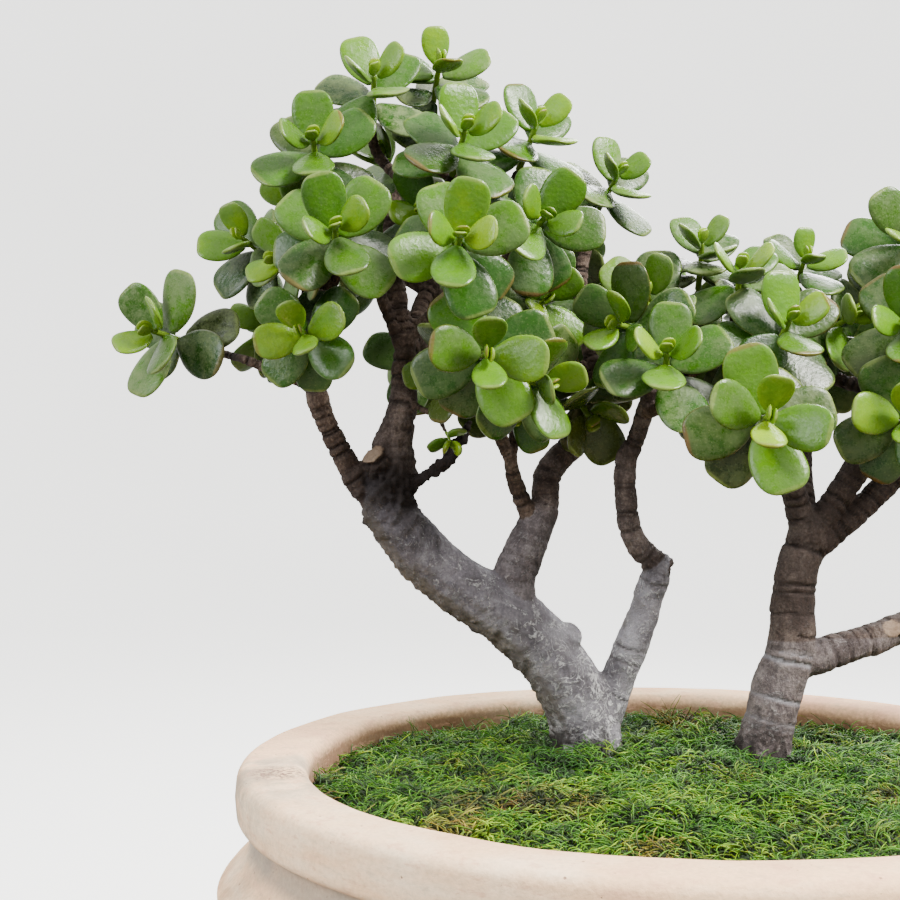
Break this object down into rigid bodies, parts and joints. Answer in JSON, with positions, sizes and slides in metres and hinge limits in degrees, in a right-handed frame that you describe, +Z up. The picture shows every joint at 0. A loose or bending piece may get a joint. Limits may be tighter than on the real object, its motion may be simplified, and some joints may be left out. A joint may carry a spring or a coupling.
{
  "type": "potted jade plant",
  "caption": "Jade plant with woody forked stems and rosettes of thick oval leaves, in a wide round clay pot of soil covered with moss.",
  "frame": {"origin": "centre of the pot's flat foot, on the surface it stands on", "axes": "+Z up through the pot's axis, -Y to the front, +X to the right of someone in front of it"},
  "size_m": [0.5437, 0.48, 0.7033],
  "materials": {
    "clay": "weathered, unglazed, chalky, pale pink-cream",
    "broken_clay": "raw broken earthenware",
    "soil": "crumbly dark potting soil",
    "moss": "tangled bright green moss strands with dry yellow-brown ones",
    "grey_bark": "grey mottled bark, browner and ring-wrinkled on the young limbs",
    "brown_bark": "brown-grey fibrous bark with pale ring scars",
    "leaf": "waxy thick leaf, glossy in places, pale or reddish margin"
  },
  "bodies": {
    "root": {"pot": "clay", "soil": "soil", "moss_mat": "moss", "crock_1": "broken_clay", "crock_2": "broken_clay", "crock_3": "broken_clay", "stem_left": "grey_bark", "stem_right": "brown_bark", "shoot_front_centre": "leaf", "shoot_front_right": "leaf", "shoot_front_left": "leaf", "shoot_low_centre": "leaf", "shoot_far_left": "leaf", "shoot_centre_right": "leaf", "shoot_crown_middle": "leaf", "shoot_right_centre": "leaf", "shoot_right_front": "leaf", "shoot_low_left": "leaf", "shoot_low_centre_right": "leaf", "shoot_upper_left": "leaf", "shoot_left_middle": "leaf", "shoot_crown_left": "leaf", "shoot_crown_top": "leaf", "shoot_crown_right": "leaf", "shoot_behind_centre": "leaf", "shoot_right_upper": "leaf", "shoot_right_middle": "leaf", "shoot_edge_low": "leaf", "shoot_edge_middle": "leaf", "shoot_edge_high": "leaf", "shoot_left_fold": "leaf", "shoot_far_upper_right": "leaf", "shoot_right_high": "leaf", "shoot_right_heart": "leaf", "shoot_right_outer": "leaf", "shoot_centre_heart": "leaf", "shoot_crown_left_low": "leaf", "shoot_centre_back_left": "leaf", "shoot_olive_left": "leaf", "shoot_dark_centre": "leaf", "shoot_hanging_centre": "leaf", "shoot_hanging_right": "leaf", "shoot_dark_right": "leaf", "shoot_right_end": "leaf", "shoot_right_end_front": "leaf", "shoot_right_top": "leaf", "shoot_right_low_end": "leaf", "shoot_right_back": "leaf", "shoot_behind_right": "leaf", "shoot_behind_right_top": "leaf", "shoot_back_top": "leaf", "shoot_back_left": "leaf", "shoot_back_middle": "leaf", "shoot_back_low": "leaf", "shoot_back_right": "leaf", "shoot_back_right_low": "leaf", "shoot_back_inner_right": "leaf", "shoot_left_behind": "leaf", "shoot_left_behind_top": "leaf", "shoot_sprout": "leaf"}
  },
  "joints": []
}
